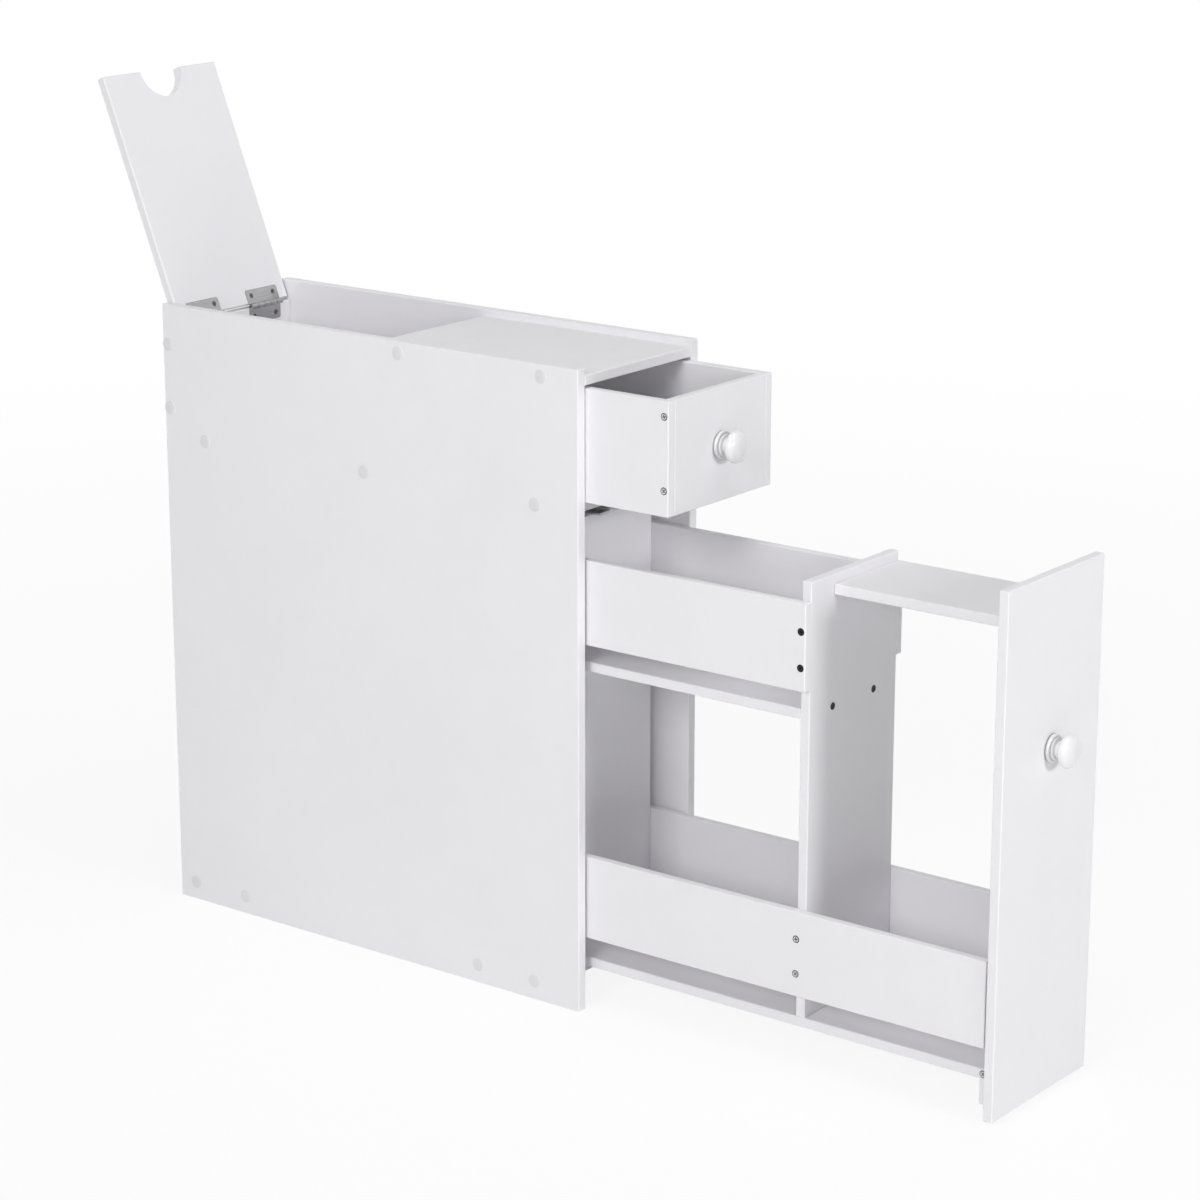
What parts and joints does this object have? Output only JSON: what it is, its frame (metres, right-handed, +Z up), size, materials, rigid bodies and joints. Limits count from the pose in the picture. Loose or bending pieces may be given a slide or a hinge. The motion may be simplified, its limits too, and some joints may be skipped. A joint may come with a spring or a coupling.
{
  "type": "slim bathroom cabinet",
  "caption": "Narrow white storage cabinet with a hinged lid over a rear compartment, a small drawer and a tall pull-out frame on a telescopic slide.",
  "frame": {"origin": "floor level under the middle of the pictured pose (lid open, drawer and pull-out drawn out)", "axes": "+Z up, -Y towards the front the drawers open to, +X to the right of someone who stands in front and faces the cabinet"},
  "size_m": [0.1738, 1.0148, 0.7812],
  "materials": {
    "white_board": "satin white lacquer on fibreboard",
    "cap_plastic": "semi-matt white cover caps",
    "nylon": "smooth white nylon",
    "glazed_knob": "glossy white glaze",
    "hinge_steel": "satin zinc plate",
    "screw_steel": "dull zinc plate with cross recess",
    "slide_steel": "bright zinc plate"
  },
  "bodies": {
    "carcass": {"left_side_panel": "white_board", "right_side_panel": "white_board", "top_panel": "white_board", "mid_shelf": "white_board", "back_panel": "white_board", "compartment_partition": "white_board", "base_rear_board": "white_board", "base_front_board": "white_board", "left_cover_caps": "cap_plastic", "right_cover_caps": "cap_plastic", "left_hinge_back_leaf": "hinge_steel", "right_hinge_back_leaf": "hinge_steel", "left_hinge_pin": "hinge_steel", "right_hinge_pin": "hinge_steel", "hinge_back_screws": "screw_steel", "drawer_slide_outer": "slide_steel", "pullout_slide_outer": "slide_steel", "pullout_top_rail": "slide_steel"},
    "lid": {"lid_panel": "white_board", "left_hinge_lid_leaf": "hinge_steel", "right_hinge_lid_leaf": "hinge_steel", "hinge_lid_screws": "screw_steel"},
    "drawer": {"drawer_front": "white_board", "drawer_left_side": "white_board", "drawer_right_side": "white_board", "drawer_back": "white_board", "drawer_bottom": "white_board", "drawer_screws": "screw_steel", "drawer_knob": "glazed_knob", "drawer_knob_screw": "screw_steel", "drawer_slide_inner": "slide_steel"},
    "drawer_slide_middle": {"drawer_slide_middle": "slide_steel"},
    "pullout": {"pullout_front": "white_board", "pullout_floor": "white_board", "pullout_rear_panel": "white_board", "pullout_divider": "white_board", "pullout_tray_floor": "white_board", "pullout_top_shelf": "white_board", "pullout_batten": "white_board", "pullout_left_upper_rail": "white_board", "pullout_right_upper_rail": "white_board", "pullout_left_lower_rail": "white_board", "pullout_right_lower_rail": "white_board", "pullout_rail_screws": "screw_steel", "pullout_floor_screws": "screw_steel", "pullout_tray_screws": "screw_steel", "pullout_knob": "glazed_knob", "pullout_knob_screw": "screw_steel", "pullout_slide_inner": "slide_steel", "pullout_guide_bracket": "slide_steel", "pullout_guide_slider": "nylon"},
    "pullout_slide_middle": {"pullout_slide_middle": "slide_steel"}
  },
  "joints": [
    {"name": "lid_hinge", "type": "hinge", "parent": "carcass", "child": "lid", "pos_m": [0, 0.40809, 0.5627], "axis": [-1, 0, 0], "range_deg": [-112, 0]},
    {"name": "drawer_slide", "type": "slide", "parent": "carcass", "child": "drawer", "axis": [0, -1, 0], "range_m": [-0.087, 0.093]},
    {"name": "drawer_slide_mid", "type": "slide", "parent": "carcass", "child": "drawer_slide_middle", "axis": [0, -1, 0], "range_m": [-0.0435, 0.0465]},
    {"name": "pullout_slide", "type": "slide", "parent": "carcass", "child": "pullout", "axis": [0, -1, 0], "range_m": [-0.41905, 0.006]},
    {"name": "pullout_slide_mid", "type": "slide", "parent": "carcass", "child": "pullout_slide_middle", "axis": [0, -1, 0], "range_m": [-0.20952, 0.003]}
  ],
  "couplings": [
    {"joint": "drawer_slide_mid", "follows": "drawer_slide", "ratio": 0.5},
    {"joint": "pullout_slide_mid", "follows": "pullout_slide", "ratio": 0.5}
  ]
}
